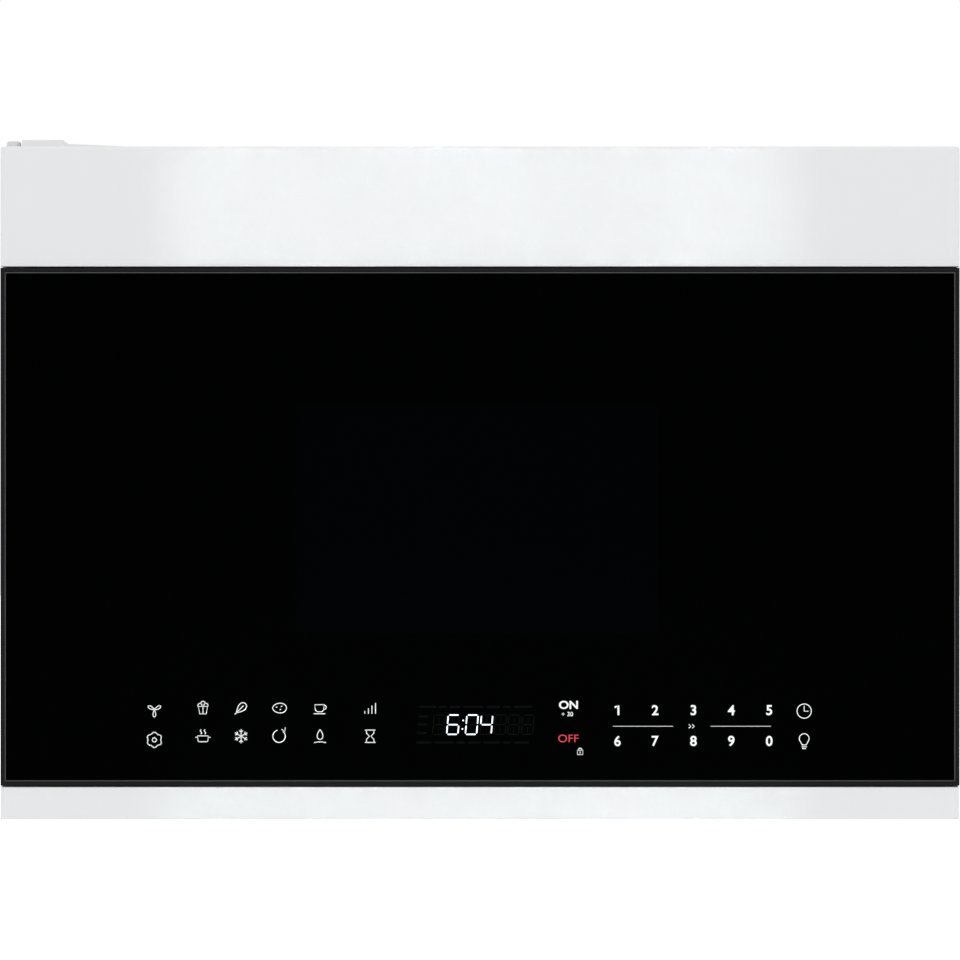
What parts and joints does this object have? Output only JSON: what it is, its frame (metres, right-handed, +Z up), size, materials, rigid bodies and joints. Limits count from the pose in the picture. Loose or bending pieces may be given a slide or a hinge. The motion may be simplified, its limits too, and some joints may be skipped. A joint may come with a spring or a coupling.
{
  "type": "over the range microwave",
  "caption": "Over the range microwave oven with a full-width side-hinged glass door, touch controls, turntable, cooktop hood blower, grease filters, lamps and a wall plate.",
  "frame": {"origin": "middle of the underside, halfway between the door's front and the wall", "axes": "+X to the right seen from the room, +Y towards the wall, +Z up"},
  "size_m": [0.6064, 0.4, 0.4375],
  "materials": {
    "case_white": "satin white enamel",
    "galvanised": "galvanised sheet",
    "screw_zinc": "bright zinc",
    "band_white": "smooth white",
    "charcoal": "black honeycomb",
    "cavity_enamel": "light grey enamel",
    "mica": "mica sheet",
    "tray_glass": "clear pressed glass",
    "coupler_grey": "grey moulding",
    "ring_plastic": "pale moulding",
    "door_dark": "dark grey moulding",
    "front_glass": "black backed glass",
    "board_green": "circuit board",
    "display_dark": "lit segment display",
    "screen_black": "black perforated sheet",
    "window_film": "clear sheet",
    "cover_black": "black moulding",
    "latch_white": "white acetal",
    "spring_steel": "spring wire",
    "latch_board_grey": "grey moulding",
    "switch_black": "black phenolic",
    "plunger_red": "red moulding",
    "gland_grey": "light grey moulding",
    "outlet_grey": "light grey moulding",
    "motor_grey": "grey motor case",
    "wheel_black": "black moulding",
    "magnetron_steel": "plated steel and fins",
    "core_steel": "lacquered laminations",
    "copper": "lacquered copper",
    "can_steel": "drawn can",
    "lamp_glass": "frosted bulb",
    "filter_aluminium": "aluminium mesh",
    "lamp_cover_glass": "frosted lens",
    "led_white": "light emitting discs"
  },
  "bodies": {
    "cabinet": {"outer_wrapper": "case_white", "rear_panel": "galvanised", "base_pan": "galvanised", "case_screws": "screw_zinc", "vent_cover": "band_white", "bottom_trim": "band_white", "charcoal_filter": "charcoal", "oven_cavity": "cavity_enamel", "mica_cover": "mica", "turntable_motor": "galvanised", "hinge_lower": "galvanised", "hinge_upper": "galvanised", "latch_board": "latch_board_grey", "interlock_switches": "switch_black", "cord_gland": "gland_grey", "cord_outlet": "outlet_grey", "duct_collar": "galvanised", "bolt_nuts": "screw_zinc", "blower_housing": "galvanised", "blower_motor": "motor_grey", "waveguide": "galvanised", "magnetron": "magnetron_steel", "cooling_fan_frame": "wheel_black", "transformer_core": "core_steel", "transformer_windings": "copper", "capacitor": "can_steel", "power_board": "board_green", "noise_filter_board": "board_green", "oven_lamp_box": "galvanised", "oven_lamp": "lamp_glass", "thermal_cutouts": "switch_black", "cooktop_lamp_cover": "lamp_cover_glass", "cooktop_lamp_housing": "galvanised", "cooktop_lamp": "led_white", "mounting_plate": "galvanised"},
    "door": {"door_frame": "door_dark", "door_glass": "front_glass", "touch_board": "board_green", "display_module": "display_dark", "choke_panel": "galvanised", "door_screen": "screen_black", "inner_window": "window_film", "choke_cover": "cover_black", "door_screws": "screw_zinc", "latch_spring": "spring_steel"},
    "latch": {"latch_bar": "latch_white"},
    "turntable": {"glass_tray": "tray_glass", "turntable_coupler": "coupler_grey"},
    "roller_carrier": {"roller_ring": "ring_plastic"},
    "wheel_1": {"roller_1": "ring_plastic"},
    "wheel_2": {"roller_2": "ring_plastic"},
    "wheel_3": {"roller_3": "ring_plastic"},
    "blower_rotor": {"blower_wheels": "wheel_black"},
    "fan_rotor": {"cooling_fan_wheel": "wheel_black"},
    "exhaust_flap": {"damper_flap": "galvanised"},
    "filter_left": {"grease_filter_left": "filter_aluminium"},
    "filter_right": {"grease_filter_right": "filter_aluminium"},
    "switch_pin_1": {"plunger_1": "plunger_red"},
    "switch_pin_2": {"plunger_2": "plunger_red"},
    "switch_pin_3": {"plunger_3": "plunger_red"}
  },
  "joints": [
    {"name": "door_hinge", "type": "hinge", "parent": "cabinet", "child": "door", "pos_m": [-0.2892, -0.172, 0.185], "axis": [0, 0, -1], "range_deg": [0, 90]},
    {"name": "latch_lift", "type": "slide", "parent": "door", "child": "latch", "axis": [0, 0, 1], "range_m": [0, 0.005], "stiffness_N_per_m": 400, "springref_m": -0.008, "deforming": ["latch_spring"]},
    {"name": "turntable_spin", "type": "hinge", "parent": "cabinet", "child": "turntable", "pos_m": [0, 0.011, 0.09], "axis": [0, 0, 1], "continuous": true},
    {"name": "ring_spin", "type": "hinge", "parent": "cabinet", "child": "roller_carrier", "pos_m": [0, 0.011, 0.08605], "axis": [0, 0, 1], "continuous": true},
    {"name": "roller_1_spin", "type": "hinge", "parent": "roller_carrier", "child": "wheel_1", "pos_m": [0, 0.111, 0.08605], "axis": [0, 1, 0], "continuous": true},
    {"name": "roller_2_spin", "type": "hinge", "parent": "roller_carrier", "child": "wheel_2", "pos_m": [-0.0866, -0.039, 0.08605], "axis": [-0.866, -0.5, 0], "continuous": true},
    {"name": "roller_3_spin", "type": "hinge", "parent": "roller_carrier", "child": "wheel_3", "pos_m": [0.0866, -0.039, 0.08605], "axis": [0.866, -0.5, 0], "continuous": true},
    {"name": "blower_spin", "type": "hinge", "parent": "cabinet", "child": "blower_rotor", "pos_m": [0, 0.138, 0.368], "axis": [1, 0, 0], "continuous": true},
    {"name": "cooling_fan_spin", "type": "hinge", "parent": "cabinet", "child": "fan_rotor", "pos_m": [0.2526, 0.16, 0.205], "axis": [0, 1, 0], "continuous": true},
    {"name": "damper_swing", "type": "hinge", "parent": "cabinet", "child": "exhaust_flap", "pos_m": [0, 0.17305, 0.4301], "axis": [-1, 0, 0], "range_deg": [0, 80]},
    {"name": "grease_filter_left_slide", "type": "slide", "parent": "cabinet", "child": "filter_left", "axis": [0, 0, -1], "range_m": [0, 0.04]},
    {"name": "grease_filter_right_slide", "type": "slide", "parent": "cabinet", "child": "filter_right", "axis": [0, 0, -1], "range_m": [0, 0.04]},
    {"name": "plunger_1_slide", "type": "slide", "parent": "cabinet", "child": "switch_pin_1", "axis": [0, 0, 1], "range_m": [0, 0.0015]},
    {"name": "plunger_2_slide", "type": "slide", "parent": "cabinet", "child": "switch_pin_2", "axis": [0, 0, 1], "range_m": [0, 0.0015]},
    {"name": "plunger_3_slide", "type": "slide", "parent": "cabinet", "child": "switch_pin_3", "axis": [0, 0, 1], "range_m": [0, 0.0015]}
  ],
  "couplings": [
    {"joint": "ring_spin", "follows": "turntable_spin", "ratio": 0.5},
    {"joint": "roller_1_spin", "follows": "turntable_spin", "ratio": -6.25},
    {"joint": "roller_2_spin", "follows": "turntable_spin", "ratio": -6.25},
    {"joint": "roller_3_spin", "follows": "turntable_spin", "ratio": -6.25},
    {"joint": "plunger_1_slide", "follows": "latch_lift", "ratio": 0.3},
    {"joint": "plunger_2_slide", "follows": "latch_lift", "ratio": 0.3},
    {"joint": "plunger_3_slide", "follows": "latch_lift", "ratio": 0.3}
  ]
}
